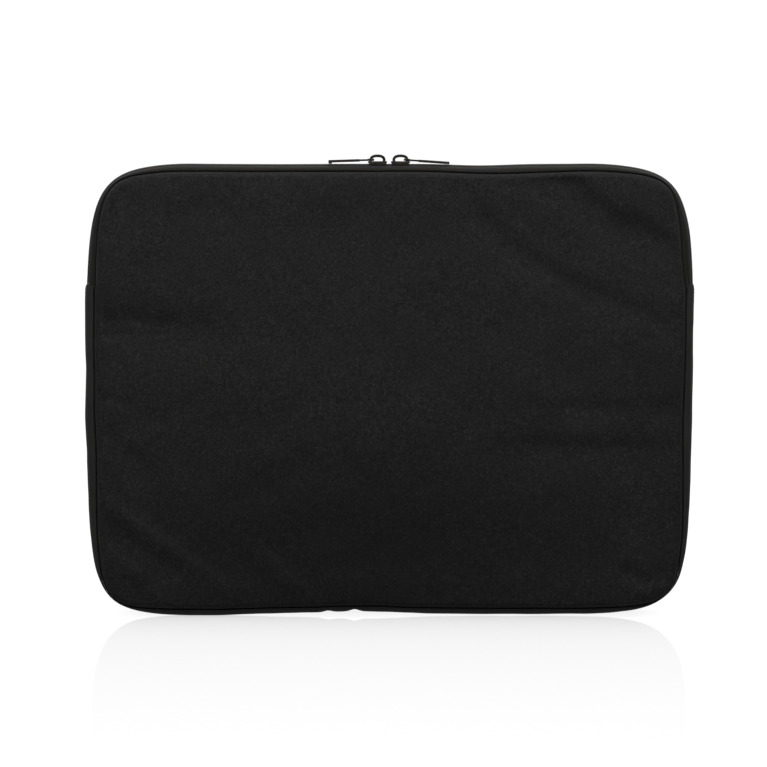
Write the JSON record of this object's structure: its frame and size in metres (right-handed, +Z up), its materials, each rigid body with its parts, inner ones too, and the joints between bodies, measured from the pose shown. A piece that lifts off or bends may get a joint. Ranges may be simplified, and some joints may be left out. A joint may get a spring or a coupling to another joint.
{
  "type": "laptop sleeve",
  "caption": "Thin padded fabric laptop sleeve with soft rounded corners, a rounded edge band and a top zip closed by head-to-head sliders with flat metal pullers.",
  "frame": {"origin": "middle of the bottom edge, on the surface that the sleeve stands on, halfway through its thickness", "axes": "+X along the width, to the right as seen from the front; +Y from the front panel to the back panel; +Z up, from the bottom edge to the zip"},
  "size_m": [0.3906, 0.027, 0.2956],
  "materials": {
    "cover_fabric": "near-black matte woven polyester with a fine pale fleck",
    "gusset_fabric": "smoother near-black matte knit over foam",
    "foam": "dark grey closed-cell foam",
    "lining": "short-pile charcoal plush",
    "zip_tape": "black herringbone zip tape",
    "zip_coil": "black nylon coil, satin",
    "thread": "black polyester sewing thread",
    "binding": "black grosgrain seam binding",
    "slider_metal": "black nickel plate, satin, lightly worn edges",
    "puller_metal": "black nickel plate, satin, lightly worn edges"
  },
  "bodies": {
    "sleeve": {"back_cover": "cover_fabric", "back_foam": "foam", "back_lining": "lining", "front_cover_lower": "cover_fabric", "front_foam_lower": "foam", "front_lining_lower": "lining", "gusset_cover": "gusset_fabric", "gusset_foam": "foam", "gusset_lining": "lining", "zip_tape_back": "zip_tape", "zip_coil_back": "zip_coil", "coil_thread_back": "thread", "seam_binding_back": "binding", "seam_binding_front_lower": "binding", "binding_thread_back": "thread", "binding_thread_front_lower": "thread", "topstitch_left": "thread", "topstitch_right": "thread"},
    "front_flap": {"front_cover_upper": "cover_fabric", "front_foam_upper": "foam", "front_lining_upper": "lining", "zip_tape_front": "zip_tape", "zip_coil_front": "zip_coil", "coil_thread_front": "thread", "seam_binding_front_upper": "binding", "binding_thread_front_upper": "thread"},
    "slider_left": {"slider_left_body": "slider_metal", "slider_left_crown": "slider_metal"},
    "tab_left": {"puller_left": "puller_metal"},
    "slider_right": {"slider_right_body": "slider_metal", "slider_right_crown": "slider_metal"},
    "tab_right": {"puller_right": "puller_metal"}
  },
  "joints": [
    {"name": "mouth_open", "type": "hinge", "parent": "sleeve", "child": "front_flap", "pos_m": [0, -0.0135, 0.212], "axis": [1, 0, 0], "range_deg": [0, 25], "stiffness_Nm_per_rad": 0.3, "springref_deg": -14.32},
    {"name": "slider_left_travel", "type": "slide", "parent": "sleeve", "child": "slider_left", "axis": [-1, 0, 0], "range_m": [0, 0.13]},
    {"name": "slider_right_travel", "type": "slide", "parent": "sleeve", "child": "slider_right", "axis": [1, 0, 0], "range_m": [0, 0.13]},
    {"name": "puller_left_swing", "type": "hinge", "parent": "slider_left", "child": "tab_left", "pos_m": [-0.01, 0, 0.29195], "axis": [0, 1, 0], "range_deg": [0, 105]},
    {"name": "puller_right_swing", "type": "hinge", "parent": "slider_right", "child": "tab_right", "pos_m": [0.01, 0, 0.29195], "axis": [0, -1, 0], "range_deg": [0, 105]}
  ]
}
